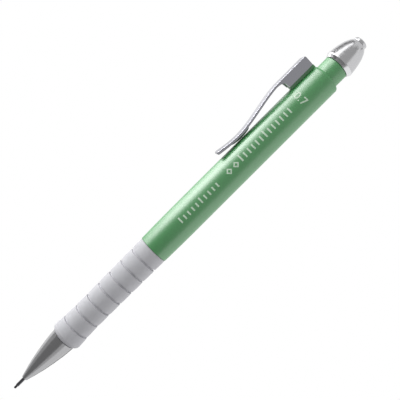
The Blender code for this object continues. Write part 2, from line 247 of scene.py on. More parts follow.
def build_spring(name, start, end, wire, coil, turns, per_turn):
    """A spring wound evenly from its start to its end.

    Wire and coil are the radii of its wire and of the coil that the wire's centre follows.
    """
    inset = (end - start).normalized() * wire
    points = coil_points(start + inset, end - inset, coil, turns, per_turn)
    spring = finish_piece(f"{name}_skin", swept(points, wire), SPRING_STEEL, None, "spring_steel", name)
    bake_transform(spring)


def boolean(bm, other, operation):
    """The exact union or difference of two meshes in the pencil's frame."""
    meshes = []
    for source in (bm, other):
        bmesh.ops.recalc_face_normals(source, faces=source.faces)
        mesh = bpy.data.meshes.new("working")
        source.to_mesh(mesh)
        source.free()
        meshes.append(mesh)
    objects = [bpy.data.objects.new("working", mesh) for mesh in meshes]
    for thing in objects:
        bpy.context.scene.collection.objects.link(thing)
    modifier = objects[0].modifiers.new("cut", "BOOLEAN")
    modifier.operation = operation
    modifier.solver = "EXACT"
    modifier.object = objects[1]
    made = bmesh.new()
    made.from_object(objects[0], bpy.context.evaluated_depsgraph_get())
    for thing in objects:
        bpy.data.objects.remove(thing)
    return made


def block(low, high):
    """A box between two corners."""
    bm = bmesh.new()
    centre = [(a + b) / 2 for a, b in zip(low, high)]
    size = [b - a for a, b in zip(low, high)]
    bmesh.ops.create_cube(bm, size=1.0, matrix=Matrix.LocRotScale(centre, None, size))
    return bm


def prism(outline, half):
    """Extrude a (station, height) side outline to both sides of the axis plane."""
    bm = bmesh.new()
    face = bm.faces.new([bm.verts.new((s, -half, r)) for s, r in outline])
    grown = bmesh.ops.extrude_face_region(bm, geom=[face])
    moved = [item for item in grown["geom"] if isinstance(item, bmesh.types.BMVert)]
    bmesh.ops.translate(bm, verts=moved, vec=(0.0, 2 * half, 0.0))
    return bm


def rod(start, end, radius):
    """A round rod with flat ends."""
    start, end = Vector(start), Vector(end)
    along = end - start
    bm = bmesh.new()
    place = Matrix.LocRotScale((start + end) / 2, along.to_track_quat("Z", "Y"), None)
    bmesh.ops.create_cone(bm, cap_ends=True, segments=SMALL_ROUND, radius1=radius, radius2=radius,
                          depth=along.length, matrix=place)
    return bm


# ---------------------------------------------------------------- materials

EVEN = (1.0, 1.0, 1.0)
MOTTLE_SPAN = (0.35, 0.65)  # the part of the noise's range that the two tones spread over
WEAR_SPAN = (0.3, 0.7)  # and that the two roughnesses spread over


def principled(name, colour, roughness, metallic=0.0, **sockets):
    """A Principled material; further sockets are given by name with _ for a space."""
    material = bpy.data.materials.new(name)
    material.use_nodes = True
    shader = material.node_tree.nodes["Principled BSDF"]
    values = {"Base Color": (*colour, 1.0), "Roughness": roughness, "Metallic": metallic}
    values.update({key.replace("_", " "): value for key, value in sockets.items()})
    for key, value in values.items():
        shader.inputs[key].default_value = value
    return material


def noise_node(material, scale, stretch=EVEN, detail=2.0):
    """Noise whose features are about 1 / scale metres, fixed to the piece."""
    nodes, links = material.node_tree.nodes, material.node_tree.links
    place = nodes.new("ShaderNodeTexCoord")
    mapping = nodes.new("ShaderNodeMapping")
    mapping.inputs["Scale"].default_value = stretch
    noise = nodes.new("ShaderNodeTexNoise")
    noise.inputs["Scale"].default_value = scale
    noise.inputs["Detail"].default_value = detail
    links.new(place.outputs["Object"], mapping.inputs["Vector"])
    links.new(mapping.outputs["Vector"], noise.inputs["Vector"])
    return noise


def add_bump(material, scale, distance, strength, stretch=EVEN, detail=2.0):
    """Fine relief; distance is its height in metres."""
    nodes, links = material.node_tree.nodes, material.node_tree.links
    noise = noise_node(material, scale, stretch, detail)
    bump = nodes.new("ShaderNodeBump")
    bump.inputs["Strength"].default_value = strength
    bump.inputs["Distance"].default_value = distance
    links.new(noise.outputs["Fac"], bump.inputs["Height"])
    links.new(bump.outputs["Normal"], nodes["Principled BSDF"].inputs["Normal"])


def add_mottle(material, scale, dark, light, detail=2.0):
    """Colour that wanders between two close tones."""
    nodes, links = material.node_tree.nodes, material.node_tree.links
    ramp = nodes.new("ShaderNodeValToRGB")
    for element, position, tone in zip(ramp.color_ramp.elements, MOTTLE_SPAN, (dark, light)):
        element.position = position
        element.color = (*tone, 1.0)
    noise = noise_node(material, scale, detail=detail)
    links.new(noise.outputs["Fac"], ramp.inputs["Fac"])
    links.new(ramp.outputs["Color"], nodes["Principled BSDF"].inputs["Base Color"])


def add_wear(material, scale, low, high, stretch=EVEN):
    """Roughness that wanders between two values, as handling leaves it."""
    nodes, links = material.node_tree.nodes, material.node_tree.links
    spread = nodes.new("ShaderNodeMapRange")
    ends = {"From Min": WEAR_SPAN[0], "From Max": WEAR_SPAN[1], "To Min": low, "To Max": high}
    for key, value in ends.items():
        spread.inputs[key].default_value = value
    noise = noise_node(material, scale, stretch)
    links.new(noise.outputs["Fac"], spread.inputs["Value"])
    links.new(spread.outputs["Result"], nodes["Principled BSDF"].inputs["Roughness"])


def pearl_green():
    """Green lacquer full of fine pearl, which gives broad, pale highlights."""
    material = principled("pearl_green", (0.05, 0.305, 0.08), 0.36, IOR=2.2)
    add_mottle(material, 9000, (0.045, 0.292, 0.074), (0.056, 0.318, 0.086), detail=1.0)
    add_bump(material, 12000, 5e-7, 0.2)
    return material


def grey_rubber():
    """Matte rubber with a fine grain."""
    material = principled("grey_rubber", (0.58, 0.58, 0.61), 0.7, Specular_IOR_Level=0.35)
    add_mottle(material, 700, (0.57, 0.57, 0.6), (0.6, 0.6, 0.63), detail=6.0)
    add_bump(material, 6000, 2e-5, 0.6, detail=4.0)
    return material


def chrome(name, tone, roughness):
    """Polished plating with a hint of blue."""
    material = principled(name, (tone, tone, tone * 1.02), roughness, 1.0)
    add_wear(material, 900, roughness * 0.8, roughness * 1.3)
    return material


def satin_metal():
    """Metal with a fine grain along the pencil."""
    material = principled("satin_metal", (0.56, 0.56, 0.61), 0.2, 1.0)
    add_wear(material, 6000, 0.18, 0.23, stretch=(0.05, 1.0, 1.0))
    add_bump(material, 7000, 5e-7, 0.2, stretch=(0.04, 1.0, 1.0))
    return material


def plain_metal(name, colour, roughness):
    material = principled(name, colour, roughness, 1.0)
    add_wear(material, 5000, roughness * 0.75, roughness * 1.3, stretch=(1.0, 0.2, 0.2))
    return material


def plain_plastic(name, colour, roughness, **sockets):
    material = principled(name, colour, roughness, **sockets)
    add_bump(material, 5000, 1e-5, 0.4)
    add_wear(material, 1500, roughness * 0.8, roughness * 1.2)
    return material


def graphite():
    material = principled("graphite", (0.03, 0.03, 0.033), 0.45, 0.3)
    add_bump(material, 9000, 2e-5, 0.5)
    add_mottle(material, 5000, (0.022, 0.022, 0.024), (0.045, 0.045, 0.048))
    return material


def printed_ink():
    material = principled("printed_ink", (0.62, 0.78, 0.62), 0.4)
    add_mottle(material, 5000, (0.56, 0.73, 0.56), (0.68, 0.83, 0.68))
    return material


GREEN = pearl_green()
RUBBER = grey_rubber()
NOSE_CHROME = chrome("nose_chrome", 0.46, 0.2)
BUTTON_CHROME = chrome("button_chrome", 0.72, 0.22)
SATIN = satin_metal()
DARK_STEEL = plain_metal("dark_steel", (0.12, 0.12, 0.13), 0.3)
BRASS = plain_metal("brass", (0.72, 0.50, 0.20), 0.22)
SPRING_STEEL = plain_metal("spring_steel", (0.55, 0.56, 0.58), 0.2)
BLACK_PLASTIC = plain_plastic("black_plastic", (0.03, 0.03, 0.03), 0.4)
BLACK_RUBBER = plain_plastic("black_rubber", (0.02, 0.02, 0.02), 0.75)
SMOKY_PLASTIC = plain_plastic("smoky_plastic", (0.6, 0.62, 0.63), 0.15, Transmission_Weight=0.8)
WHITE_ERASER = plain_plastic("white_eraser", (0.82, 0.82, 0.80), 0.85)
GRAPHITE = graphite()
INK = printed_ink()

# ---------------------------------------------------------------- nose and lead

LEAD_RADIUS = 0.35
GUIDE_BORE = 0.42
GUIDE_RADIUS = 0.5
RETAINER_RADII = (0.4, 1.0)
NOSE_MOUTH = (0.55, 0.74)
NOSE_CURVE = [(4.2, 0.9), (7.9, 1.9), (11.5, 2.72), (16.9, 3.62)]
NOSE_REAR_EDGE = 0.12
NOSE_REAR_LEAN = 0.01
NOSE_BORE = [(15.4, 2.75), (15.4, 2.0), (12.3, 2.0), (12.3, 1.65), (9.4, 1.65), (9.4, 1.1),
             (7.2, 1.1), (7.2, NOSE_MOUTH[0])]


def lead_outline(node, front_edge, rear_edge):
    start, end = span(node)
    return rounded([(start, 0.0), (start, LEAD_RADIUS, front_edge), (end, LEAD_RADIUS, rear_edge),
                    (end, 0.0)])


def build_lead():
    turned("lead", lead_outline("lead", 0.09, 0.02), GRAPHITE, "lead", "graphite", SMALL_ROUND)


def build_lead_guide():
    start, end = span("lead_guide_sleeve")
    outline = rounded([(start, GUIDE_BORE), (start, GUIDE_RADIUS, 0.035), (end, GUIDE_RADIUS),
                       (end, GUIDE_BORE)])
    turned("lead_guide_sleeve", outline, DARK_STEEL, "nose", "dark_steel", SMALL_ROUND)


def build_lead_retainer():
    turned("lead_retainer", tube(*span("lead_retainer"), *RETAINER_RADII, 0.15), BLACK_RUBBER,
           "nose_carrier", "black_rubber", SMALL_ROUND)


def build_nose():
    """The cone: a bulging outside, and a stepped bore that holds the retainer and the spigot."""
    start, end = span("nose_cone")
    radius = radius_of("nose_cone")
    outline = [(start, NOSE_MOUTH[0]), (start, NOSE_MOUTH[1])]
    outline += through([*NOSE_CURVE, (end - NOSE_REAR_EDGE, radius - NOSE_REAR_LEAN)], 10)
    outline += [(end, radius - NOSE_REAR_EDGE), (end, NOSE_BORE[0][1]), *NOSE_BORE]
    turned("nose_cone", outline, NOSE_CHROME, "nose", "chrome")


# ---------------------------------------------------------------- clutch and lead store

CHUCK_OUTLINE = [(13.2, 0.42), (13.2, 1.2), (13.5, 1.45, 0.1), (15.4, 1.45, 0.1), (16.4, 1.05),
                 (16.6, 0.9), (38.0, 0.9, 0.05), (38.0, 0.42)]
SLIT_SPAN = (13.0, 22.0)
SLIT_HALF = 0.12
SLIT_REACH = 2.0
RING_RADII = (1.5, 1.85)
THREAD_RADIUS = 2.65
THREAD_DEPTH = 0.18
THREAD_START = 16.2
THREAD_PITCH = 0.65
THREAD_COUNT = 7
HOUSING_OUTLINE = [(16.6, 1.1), (16.6, 1.95, 0.1), (24.1, 1.95), (24.1, 2.6), (25.0, 2.6),
                   (25.0, 1.1)]
RETURN_WIRE = 0.22
RETURN_COIL = 1.6
RETURN_TURNS = 9
RETURN_STEPS = 32  # points in a turn
COUPLER_OUTLINE = [(36.0, 0.98), (36.0, 2.4, 0.2), (48.0, 2.4, 0.2), (48.0, 2.1), (41.0, 2.1),
                   (41.0, 0.5), (38.2, 0.5), (38.2, 0.98)]
TUBE_RADII = (1.7, 2.0)


def build_chuck():
    """The collet, whose head is split into four jaws by two crossed slits."""
    chuck = spun(rounded(CHUCK_OUTLINE), SMALL_ROUND)
    front, rear = SLIT_SPAN
    for side, height in ((SLIT_REACH, SLIT_HALF), (SLIT_HALF, SLIT_REACH)):
        slit = block((front, -side, -height), (rear, side, height))
        chuck = boolean(chuck, slit, "DIFFERENCE")
    finish_piece("chuck_skin", chuck, BRASS, "button", "brass", "chuck")


def build_chuck_ring():
    turned("chuck_ring", tube(*span("chuck_ring"), *RING_RADII, 0.1), BRASS, "ring", "brass",
           SMALL_ROUND)


def build_thread_insert():
    """The spigot that the nose screws onto: ring grooves for a thread, and a flange behind."""
    outline = [(15.6, 2.05), (15.6, THREAD_RADIUS, 0.2)]
    for i in range(THREAD_COUNT):
        groove = THREAD_START + i * THREAD_PITCH
        outline += [(groove, THREAD_RADIUS), (groove + 0.2, THREAD_RADIUS - THREAD_DEPTH),
                    (groove + 0.35, THREAD_RADIUS)]
    outline += [(21.1, THREAD_RADIUS), (21.1, 3.55, 0.1), (22.0, 3.55), (22.0, THREAD_RADIUS),
                (24.0, THREAD_RADIUS), (24.0, 2.05)]
    turned("thread_insert", rounded(outline), BRASS, "pencil_body", "brass")


def build_chuck_housing():
    turned("chuck_housing", rounded(HOUSING_OUTLINE), BLACK_PLASTIC, "pencil_body", "black_plastic")


def build_return_spring():
    start, end = (Vector((station, 0, 0)) for station in span("return_spring"))
    build_spring("return_spring", start, end, RETURN_WIRE, RETURN_COIL, RETURN_TURNS,
                 RETURN_STEPS)


def build_magazine_coupler():
    turned("magazine_coupler", rounded(COUPLER_OUTLINE), BLACK_PLASTIC, "button", "black_plastic",
           SMALL_ROUND)


def build_magazine_tube():
    turned("magazine_tube", tube(*span("magazine_tube"), *TUBE_RADII), SMOKY_PLASTIC, "button",
           "clear_plastic", SMALL_ROUND)


def build_spare_leads():
    for name in ("spare_lead_1", "spare_lead_2", "spare_lead_3"):
        low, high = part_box(name)
        centre = PENCIL.inverted() @ ((low + high) / 2)
        bm = spun(lead_outline(name, 0.05, 0.05), SMALL_ROUND, (centre.y, centre.z))
        finish_piece(f"{name}_skin", bm, GRAPHITE, "button", "graphite", name)


# ---------------------------------------------------------------- grip

GRIP_BORE = 3.7
GRIP_RIM = (22.8, 5.0)
GRIP_WAIST = (31.0, 4.6)
GRIP_REAR_RADIUS = 4.83
GROOVE_COUNT = 7
GROOVE_FIRST = 26.05
GROOVE_PITCH = 4.74
GROOVE_WIDTH = 0.62
GROOVE_DEPTH = 0.65
GROOVE_LIP = 0.03
GROOVE_LEAN = 0.02
GROOVE_CORNER = 0.04
SEGMENT_CROWN = 0.05
SEGMENT_STEPS = 10


def grip_radius(station, end):
    """Outer radius of the grip without its grooves: a rim, a waist, then a slow swell."""
    waist, radius = GRIP_WAIST
    if station < waist:
        return radius + (GRIP_RIM[1] - radius) * ((waist - station) / (waist - GRIP_RIM[0])) ** 2
    return radius + (GRIP_REAR_RADIUS - radius) * ((station - waist) / (end - waist)) ** 1.2


def grip_segment(first, last, end):
    """The rubber between two grooves: slightly crowned, and lower at the grooves' lips."""
    outline = []
    for i in range(SEGMENT_STEPS + 1):
        share = i / SEGMENT_STEPS
        station = first + (last - first) * share
        crown = SEGMENT_CROWN * (4 * share * (1 - share) - 1)
        lip = GROOVE_LIP if i in (0, SEGMENT_STEPS) else 0.0
        outline.append((station, grip_radius(station, end) + crown - lip))
    return outline


def groove_floor(start, floor):
    """The bottom of a groove that starts at a station, with small slanted corners."""
    stop = start + GROOVE_WIDTH
    corner = GROOVE_LEAN + GROOVE_CORNER
    return [(start + GROOVE_LEAN, floor + GROOVE_CORNER), (start + corner, floor),
            (stop - corner, floor), (stop - GROOVE_LEAN, floor + GROOVE_CORNER)]


def build_grip():
    start, end = span("grip_sleeve")
    outline = [(start, GRIP_BORE), (start, 4.02), (start + 0.08, 4.12)]
    outline += bezier([(start + 0.12, 4.16), (21.6, 4.72), (22.0, 4.98), GRIP_RIM], 8)[:-1]
    grooves = [GROOVE_FIRST + i * GROOVE_PITCH for i in range(GROOVE_COUNT)]
    starts = [GRIP_RIM[0]] + [groove + GROOVE_WIDTH / 2 for groove in grooves]
    ends = [groove - GROOVE_WIDTH / 2 for groove in grooves] + [end]
    for first, last in zip(starts, ends):
        outline += grip_segment(first, last, end)
        if last < end:
            outline += groove_floor(last, grip_radius(last, end) - GROOVE_DEPTH)
    outline.append((end, GRIP_BORE))
    turned("grip_sleeve", outline, RUBBER, "pencil_body", "grey_rubber")


# ---------------------------------------------------------------- barrel

BARREL_STEP = (58.8, 4.88)
BARREL_STEP_EDGE = 0.08
BARREL_FULL = 73.0
BARREL_NECK_BORE = 2.75
BARREL_NECK = 3.6
BARREL_BORE = 4.1
PIVOT = PENCIL.inverted() @ Vector(JOINTS["clip_hinge"]["pos_m"])
PIN_HOLE_RADIUS = 0.5
PIN_HOLE_REACH = 3.0
LUG_OUTLINE = [(121.6, 4.4), (121.6, 7.6), (122.0, 8.0), (129.95, 8.0), (129.95, 5.8),
               (131.4, 5.8), (131.4, 4.4)]
LUG_HALF = 1.2
LUG_EDGE = 0.1
SPRING_STATION = 128.75
SPRING_POCKET = (6.2, 9.0)
SPRING_POCKET_RADIUS = 0.75


def barrel_rise():
    """The barrel's outside from its step behind the grip to where it has its full radius."""
    radius = radius_of("barrel")
    step, step_radius = BARREL_STEP
    steps = 12
    rise = []
    for i in range(steps + 1):
        left = 1 - i / steps
        rise.append((BARREL_FULL - (BARREL_FULL - step - BARREL_STEP_EDGE) * left,
                     radius - (radius - step_radius) * left ** 2))
    return rise


def build_barrel():
    front, end = span("barrel")
    step, step_radius = BARREL_STEP
    outline = rounded([(front, BARREL_NECK_BORE), (front, BARREL_NECK, 0.1), (step, BARREL_NECK),
                       (step, step_radius - BARREL_STEP_EDGE), *barrel_rise(),
                       (end, radius_of("barrel"), 0.8), (end, BARREL_BORE), (62.0, BARREL_BORE),
                       (60.5, BARREL_NECK_BORE)], 8)
    turned("barrel", outline, GREEN, "pencil_body", "green_plastic")


def across_pivot(half, radius):
    """A rod on the clip's pivot, as far to either side as half."""
    return rod((PIVOT.x, -half, PIVOT.z), (PIVOT.x, half, PIVOT.z), radius)


def build_lug():
    """The lug that holds the clip's pin and spring, with its long foot under the clip's block."""
    lug = prism(LUG_OUTLINE, LUG_HALF)
    bmesh.ops.bevel(lug, geom=lug.edges[:], offset=LUG_EDGE, segments=3, affect="EDGES")
    lug = boolean(lug, across_pivot(PIN_HOLE_REACH, PIN_HOLE_RADIUS), "DIFFERENCE")
    low, high = SPRING_POCKET
    pocket = rod((SPRING_STATION, 0, low), (SPRING_STATION, 0, high), SPRING_POCKET_RADIUS)
    lug = boolean(lug, pocket, "DIFFERENCE")
    finish_piece("clip_lug", lug, GREEN, "pencil_body", "green_plastic")


# ---------------------------------------------------------------- print

INK_LIFT = 0.012
INK_SINK = 0.03
STROKE_STEP = 0.25
SHARPEST_MITRE = 0.5
SIZE_MARK = (121.0, 69.5)  # station, and degrees from the clip
SIZE_STROKE = 0.42
DIGIT_HALF = 0.99
ZERO_CENTRE = -1.35
ZERO_HALF = 0.62
ZERO_POINTS = 36
DECIMAL_POINT = [(-0.3, -DIGIT_HALF), (0.1, -DIGIT_HALF)]
SEVEN = [(0.5, DIGIT_HALF), (1.8, DIGIT_HALF), (0.95, -1.2)]
# Each row's first station, degrees from the clip, number of ticks, their height, and the long ones.
TICK_ROWS = [(70.9, 77.5, 10, 1.5, (0, 5)), (96.2, 74.0, 13, 1.9, (0, 6))]
TICK_PITCH = 1.66
TICK_STROKE = 0.5
TICK_FOOT = -0.75
LONG_TICK = 1.35
DIAMONDS = [(91.1, 74.0), (93.9, 74.0)]
DIAMOND_HALF = 0.8
DIAMOND_STROKE = 0.4


def along_path(path):
    """The path again, with points no further apart than a stroke's step."""
    dense = []
    for (x0, y0), (x1, y1) in zip(path, path[1:]):
        count = max(1, math.ceil(math.hypot(x1 - x0, y1 - y0) / STROKE_STEP))
        dense += [(x0 + (x1 - x0) * i / count, y0 + (y1 - y0) * i / count) for i in range(count)]
    return dense + [path[-1]]


def add_stroke(bm, path, breadth, place, closed=False):
    """A ribbon of ink of one breadth along a path; place turns path and lift into a point."""
    dense = along_path(path + path[:1] if closed else path)
    if closed:
        dense.pop()
    count = len(dense)
    rings = []
    for i, (x, y) in enumerate(dense):
        before = dense[i - 1] if closed or i else dense[0]
        after = dense[(i + 1) % count] if closed or i + 1 < count else dense[-1]
        into = Vector((x - before[0], y - before[1]))
        out = Vector((after[0] - x, after[1] - y))
        into = (into if into.length else out).normalized()
        out = (out if out.length else into).normalized()
        mean = (into + out).normalized()
        reach = breadth / 2 / max(mean.dot(into), SHARPEST_MITRE)
        nx, ny = -mean.y * reach, mean.x * reach
        rings.append([bm.verts.new(place(x + side * nx, y + side * ny, lift)) for side, lift in
                      ((1, -INK_SINK), (1, INK_LIFT), (-1, INK_LIFT), (-1, -INK_SINK))])
    pairs = list(zip(rings, rings[1:]))
    if closed:
        pairs.append((rings[-1], rings[0]))
    else:
        bm.faces.new(rings[0])
        bm.faces.new(reversed(rings[-1]))
    for ring, following in pairs:
        join_rings(bm, ring, following)


def wrapped(station, angle, turned_text=False):
    """The way to place a path on the barrel, at a station and an angle in degrees from the clip."""
    radius = radius_of("barrel")

    def place(x, y, lift):
        shift, around = (y, x) if turned_text else (x, -y)
        turn = math.radians(angle) + around / radius
        high = radius + lift
        return Vector((station + shift, -high * math.sin(turn), high * math.cos(turn)))
    return place


def build_size_mark():
    """The lead size, 0.7, read away from the clip with its top towards the button."""
    place = wrapped(*SIZE_MARK, turned_text=True)
    bm = bmesh.new()
    angles = [2 * math.pi * k / ZERO_POINTS for k in range(ZERO_POINTS)]
    zero = [(ZERO_CENTRE + ZERO_HALF * math.cos(a), DIGIT_HALF * math.sin(a)) for a in angles]
    add_stroke(bm, zero, SIZE_STROKE, place, closed=True)
    add_stroke(bm, DECIMAL_POINT, SIZE_STROKE, place)
    add_stroke(bm, SEVEN, SIZE_STROKE, place)
    finish_piece("size_mark", bm, INK, "pencil_body", "green_plastic")


def build_scale_marks():
    """Two plain rows of ticks along the barrel, with a pair of small diamonds between them."""
    bm = bmesh.new()
    for first, angle, count, height, long_ones in TICK_ROWS:
        for i in range(count):
            tall = height * (LONG_TICK if i in long_ones else 1.0)
            place = wrapped(first + i * TICK_PITCH, angle)
            add_stroke(bm, [(0.0, TICK_FOOT), (0.0, tall + TICK_FOOT)], TICK_STROKE, place)
    diamond = [(-DIAMOND_HALF, 0.0), (0.0, DIAMOND_HALF), (DIAMOND_HALF, 0.0), (0.0, -DIAMOND_HALF)]
    for station, angle in DIAMONDS:
        add_stroke(bm, diamond, DIAMOND_STROKE, wrapped(station, angle), closed=True)
    finish_piece("scale_marks", bm, INK, "pencil_body", "green_plastic")


# ---------------------------------------------------------------- clip

CLIP_HALF = 2.2
CLIP_OUTER = 9.35
CLIP_SKIRT = 5.87
CLIP_REAR_EDGE = 0.5
CLIP_EDGE = 0.09
ARM_SHEET = 0.78
ARM_END_SHEET = 1.0
ARM_LEAVES_BLOCK = 120.5
ARM_LOW = (100.4, 6.68)
ARM_CURL = [(98.2, 6.68), (95.8, 6.98), (92.9, 7.5)]
ARCH_START = 118.6
ARCH_CORNER = (120.95, 8.5)
ARCH_END = (121.3, 7.4)
SKIRT_START = 121.55
CAVITY = ((121.0, -1.4, 5.0), (130.3, 1.4, 8.6))
REAR_NOTCH = ((130.0, -1.4, 5.0), (132.0, 1.4, 6.25))
BALL_CENTRE = (101.0, 0.0, 5.9)
BALL_RADII = (3.8, 1.3, 0.76)
SOCKET_HALF = 1.8
PIN_HALF = 1.75
PIN_RADIUS = 0.45
PIN_EDGE = 0.08
CLIP_SPRING = (6.25, 8.55)
CLIP_SPRING_WIRE = 0.12
CLIP_SPRING_COIL = 0.52
CLIP_SPRING_TURNS = 4
CLIP_SPRING_STEPS = 24


def arm_outer():
    """Outer face of the arm, from the block down to the ball and up again to the free end."""
    low_station, low_radius = ARM_LOW
    steps = 36
    fall = []
    for i in range(steps):
        share = 1 - i / steps
        rise = share * share * (3 - 2 * share)
        fall.append((low_station + (ARM_LEAVES_BLOCK - low_station) * share,
                     low_radius + (CLIP_OUTER - low_radius) * rise))
    return fall + bezier([ARM_LOW, *ARM_CURL], 16)


def arm_inner(outer):
    """Inner face of the arm: a sheet's thickness below the outer one, and more at the free end."""
    moved = []
    for i, point in enumerate(outer):
        before = outer[max(i - 1, 0)]
        after = outer[min(i + 1, len(outer) - 1)]
        run, rise = after[0] - before[0], after[1] - before[1]
        past = max(0.0, (ARM_LOW[0] - point[0]) / (ARM_LOW[0] - ARM_CURL[-1][0]))
        share = (ARM_SHEET + (ARM_END_SHEET - ARM_SHEET) * past) / math.hypot(run, rise)
        moved.append((point[0] - share * rise, point[1] + share * run))
    return moved


def clip_outline():
    """Side outline of the clip, from its skirt's rear corner over the block and round the arm."""
    rear = span("clip")[1]
    outer = arm_outer()
    inner = arm_inner(outer)
    end_outer, end_inner = outer[-1], inner[-1]
    middle = ((end_outer[0] + end_inner[0]) / 2, (end_outer[1] + end_inner[1]) / 2)
    facing = math.degrees(math.atan2(end_outer[1] - middle[1], end_outer[0] - middle[0]))
    rear_centre = (rear - CLIP_REAR_EDGE, CLIP_OUTER - CLIP_REAR_EDGE)
    under = [p for p in reversed(inner) if p[0] < ARCH_START]
    arch = bezier([under[-1], ARCH_CORNER, ARCH_END], 12)
    outline = [(rear, CLIP_SKIRT)]
    outline += arc(rear_centre, CLIP_REAR_EDGE, 0, 90)
    outline += outer
    outline += arc(middle, ARM_END_SHEET / 2, facing, facing + 180, 12)[1:-1]
    outline += under + arch[1:] + [(SKIRT_START, CLIP_SKIRT)]
    return outline


def build_clip():
    """The clip: a block with rounded edges, hollowed for the lug, and the ball under its arm."""
    bm = prism(clip_outline(), CLIP_HALF)
    rims = [edge for edge in bm.edges if abs(edge.verts[0].co.y - edge.verts[1].co.y) < MERGE]
    bmesh.ops.bevel(bm, geom=rims, offset=CLIP_EDGE, segments=3, affect="EDGES", clamp_overlap=True)
    for cutter in (block(*CAVITY), block(*REAR_NOTCH), across_pivot(SOCKET_HALF, PIN_HOLE_RADIUS)):
        bm = boolean(bm, cutter, "DIFFERENCE")
    ball = bmesh.new()
    place = Matrix.LocRotScale(Vector(BALL_CENTRE), None, Vector(BALL_RADII))
    bmesh.ops.create_uvsphere(ball, u_segments=48, v_segments=24, radius=1.0, matrix=place)
    bm = boolean(bm, ball, "UNION")
    finish_piece("clip_skin", bm, SATIN, "clip", "satin_steel", "clip", sharp=30)


def build_clip_pin():
    pin = across_pivot(PIN_HALF, PIN_RADIUS)
    rims = [edge for edge in pin.edges if edge.calc_face_angle(0) > math.radians(SHARP_ANGLE)]
    bmesh.ops.bevel(pin, geom=rims, offset=PIN_EDGE, segments=3, affect="EDGES")
    finish_piece("clip_pin_skin", pin, SPRING_STEEL, "pencil_body", "spring_steel", "clip_pin")


def build_clip_spring():
    start, end = (Vector((SPRING_STATION, 0, height)) for height in CLIP_SPRING)
    build_spring("clip_spring", start, end, CLIP_SPRING_WIRE, CLIP_SPRING_COIL,
                 CLIP_SPRING_TURNS, CLIP_SPRING_STEPS)


# ---------------------------------------------------------------- button

BUTTON_SLEEVE = [(119.0, 2.1), (119.0, 4.0, 0.2), (136.2, 4.0, 0.1), (136.2, 3.5),
                 (139.6, 3.5, 0.2), (139.6, 2.65), (130.2, 2.65), (130.2, 2.1)]
CAP_WIDEST = (137.6, 4.77)
CAP_RIM = [(137.25, 4.64), (137.42, 4.75), CAP_WIDEST]
DOME = [CAP_WIDEST, (139.4, 4.57), (141.1, 4.27), (142.9, 3.82), (144.6, 3.12), (145.7, 2.35)]
CAP_INSIDE = [(145.7, 0.85), (144.3, 0.85), (144.3, 2.4), (140.2, 3.6)]
FINIAL_STUD = [(144.4, 0.0), (144.4, 0.8, 0.1), (145.8, 0.8)]
FINIAL_RADIUS = 2.2
ERASER_CUP = [(127.0, 0.0), (127.0, 1.6, 0.2), (130.4, 1.6), (130.4, 2.55, 0.1), (137.5, 2.55),
              (137.5, 2.3), (131.2, 2.3), (131.2, 0.0)]
ERASER = [(131.3, 0.0), (131.3, 2.2, 0.1), (142.6, 2.2, 0.3), (142.6, 0.0)]


def build_button_sleeve():
    turned("button_sleeve", rounded(BUTTON_SLEEVE), GREEN, "button", "green_plastic")


def build_button_cap():
    """The cap: a flared front face, a rolled rim at its widest, and the dome."""
    start = span("button_cap")[0]
    cap = rounded([(start, 3.6), (start, 4.15, 0.12), (137.35, 4.68)])[:-1]
    cap += bezier(CAP_RIM, 4)[:-1] + through(DOME, 10) + CAP_INSIDE
    turned("button_cap", cap, BUTTON_CHROME, "cap", "chrome")


def build_button_finial():
    end = span("button_finial")[1]
    finial = rounded([*FINIAL_STUD, (FINIAL_STUD[-1][0], FINIAL_RADIUS, 0.15),
                      (end, FINIAL_RADIUS, 0.6), (end, 0.0)], 8)
    turned("button_finial", finial, BUTTON_CHROME, "cap", "chrome")


def build_eraser_cup():
    turned("eraser_cup", rounded(ERASER_CUP), SATIN, "button", "satin_steel", SMALL_ROUND)


def build_eraser():
    turned("eraser", rounded(ERASER), WHITE_ERASER, "button", "white_eraser", SMALL_ROUND)


# ---------------------------------------------------------------- camera, stage and light

CLIP_LEAN = math.radians(10)
PICTURE_TILT = math.radians(44.92)
AIM_STATION = 79.14
AIM_ACROSS = 0.64
DISTANCE = 0.189
LENS = 56.7
NEAREST_SEEN = 0.01

TO_CAMERA = math.sin(CLIP_LEAN) * TO_CLIP - math.cos(CLIP_LEAN) * SIDE
ACROSS = math.cos(CLIP_LEAN) * TO_CLIP + math.sin(CLIP_LEAN) * SIDE


def build_camera():
    right = math.cos(PICTURE_TILT) * ALONG - math.sin(PICTURE_TILT) * ACROSS
    up = math.sin(PICTURE_TILT) * ALONG + math.cos(PICTURE_TILT) * ACROSS
    aim = TIP + ALONG * AIM_STATION * MM + ACROSS * AIM_ACROSS * MM
    data = bpy.data.cameras.new("camera")
    data.lens = LENS
    data.clip_start = NEAREST_SEEN
    camera = bpy.data.objects.new("camera", data)
    turn = Matrix((right, up, TO_CAMERA)).transposed().to_4x4()
    camera.matrix_world = Matrix.Translation(aim + TO_CAMERA * DISTANCE) @ turn
    bpy.context.scene.collection.objects.link(camera)
    bpy.context.scene.camera = camera


STAGE_RADIUS = 1.5
STAGE_GLOW = 1.0


def glowing(name):
    """A white that needs no lamp."""
    material = bpy.data.materials.new(name)
    material.use_nodes = True
    nodes, links = material.node_tree.nodes, material.node_tree.links
    nodes.clear()
    glow = nodes.new("ShaderNodeEmission")
    glow.inputs["Strength"].default_value = STAGE_GLOW
    output = nodes.new("ShaderNodeOutputMaterial")
    links.new(glow.outputs["Emission"], output.inputs["Surface"])
    return material


